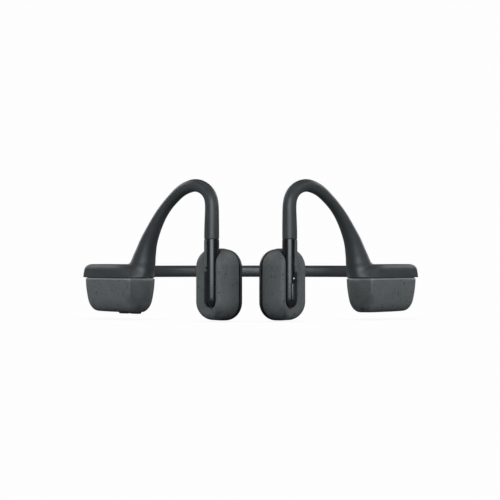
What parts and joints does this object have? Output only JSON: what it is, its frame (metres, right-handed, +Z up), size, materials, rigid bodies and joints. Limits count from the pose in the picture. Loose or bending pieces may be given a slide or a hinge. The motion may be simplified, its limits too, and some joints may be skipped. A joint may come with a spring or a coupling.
{
  "type": "bone conduction headphones",
  "caption": "Open-ear headset: silicone neckband, a box behind each ear, ear hooks and transducer pods that rest on the cheekbones.",
  "frame": {"origin": "centre of the underside of the whole headset's box: midway between the ears and between the front of the stems and the back of the neckband, at the height of the pods' lowest points", "axes": "+X to the wearer's left, +Y to the back of the head, +Z up; nodes named right_ are at -X"},
  "size_m": [0.135, 0.1068, 0.0551],
  "materials": {
    "rubber": "soft matte silicone with a slight sheen",
    "speckled_plastic": "fine speckled grey, matte",
    "stem_casing": "satin",
    "gloss_black": "polished",
    "black_silicone": "matte",
    "black_plastic": "matte",
    "titanium_wire": "drawn wire",
    "cable_jacket": "satin",
    "steel": "plated",
    "copper_coil": "enamelled wire",
    "circuit_board": "solder mask",
    "cell_foil": "pouch foil",
    "gold_contact": "plated",
    "clear_guide": "clear"
  },
  "bodies": {
    "neckband": {"band_sleeve_centre": "rubber", "band_wire_centre": "titanium_wire", "band_cable_centre": "cable_jacket"},
    "right_arm": {"right_band_sleeve": "rubber", "right_band_wire": "titanium_wire", "right_band_cable": "cable_jacket", "right_cap_and_hook": "rubber", "right_hook_wire_lower": "titanium_wire", "right_box_lid": "black_plastic", "right_box_shell": "speckled_plastic", "right_volume_up_switch": "steel", "right_volume_down_switch": "steel", "right_charge_contact_rear": "gold_contact", "right_charge_contact_front": "gold_contact", "right_main_board": "circuit_board", "right_wireless_module": "steel"},
    "left_arm": {"left_band_sleeve": "rubber", "left_band_wire": "titanium_wire", "left_band_cable": "cable_jacket", "left_cap_and_hook": "rubber", "left_hook_wire_lower": "titanium_wire", "left_box_lid": "black_plastic", "left_box_shell": "speckled_plastic", "left_battery": "cell_foil", "left_battery_board": "circuit_board"},
    "right_pod_arm": {"right_hook_sleeve_upper": "rubber", "right_hook_wire_upper": "titanium_wire", "right_stem": "stem_casing", "right_stem_insert": "gloss_black", "right_pod_shell": "speckled_plastic", "right_pod_gasket": "black_silicone", "right_contact_pad": "black_silicone", "right_transducer_yoke": "steel", "right_transducer_magnet": "steel", "right_voice_coil": "copper_coil", "right_leaf_spring": "steel", "right_microphone": "steel"},
    "left_pod_arm": {"left_hook_sleeve_upper": "rubber", "left_hook_wire_upper": "titanium_wire", "left_stem": "stem_casing", "left_stem_insert": "gloss_black", "left_pod_shell": "speckled_plastic", "left_pod_gasket": "black_silicone", "left_contact_pad": "black_silicone", "left_transducer_yoke": "steel", "left_transducer_magnet": "steel", "left_voice_coil": "copper_coil", "left_leaf_spring": "steel", "left_function_switch": "steel", "left_light_guide": "clear_guide"},
    "right_volume_up": {"right_volume_up_button": "rubber"},
    "right_volume_down": {"right_volume_down_button": "rubber"},
    "left_function": {"left_function_button": "gloss_black"}
  },
  "joints": [
    {"name": "right_band_flex", "type": "hinge", "parent": "neckband", "child": "right_arm", "pos_m": [-0.006, 0.05186, 0.0185], "axis": [0, 0, -1], "range_deg": [-1, 30], "stiffness_Nm_per_rad": 0.15},
    {"name": "right_hook_flex", "type": "hinge", "parent": "right_arm", "child": "right_pod_arm", "pos_m": [-0.03819, -0.02674, 0.0362], "axis": [0, 0, -1], "range_deg": [-1.5, 15], "stiffness_Nm_per_rad": 0.08},
    {"name": "left_band_flex", "type": "hinge", "parent": "neckband", "child": "left_arm", "pos_m": [0.006, 0.05186, 0.0185], "axis": [0, 0, 1], "range_deg": [-1, 30], "stiffness_Nm_per_rad": 0.15},
    {"name": "left_hook_flex", "type": "hinge", "parent": "left_arm", "child": "left_pod_arm", "pos_m": [0.03819, -0.02674, 0.0362], "axis": [0, 0, 1], "range_deg": [-1.5, 15], "stiffness_Nm_per_rad": 0.08},
    {"name": "right_volume_up_press", "type": "slide", "parent": "right_arm", "child": "right_volume_up", "axis": [0, 0, 1], "range_m": [0, 0.0003]},
    {"name": "right_volume_down_press", "type": "slide", "parent": "right_arm", "child": "right_volume_down", "axis": [0, 0, 1], "range_m": [0, 0.0003]},
    {"name": "left_function_press", "type": "slide", "parent": "left_pod_arm", "child": "left_function", "axis": [-0.4384, 0.8988, 0], "range_m": [0, 0.0003]}
  ]
}
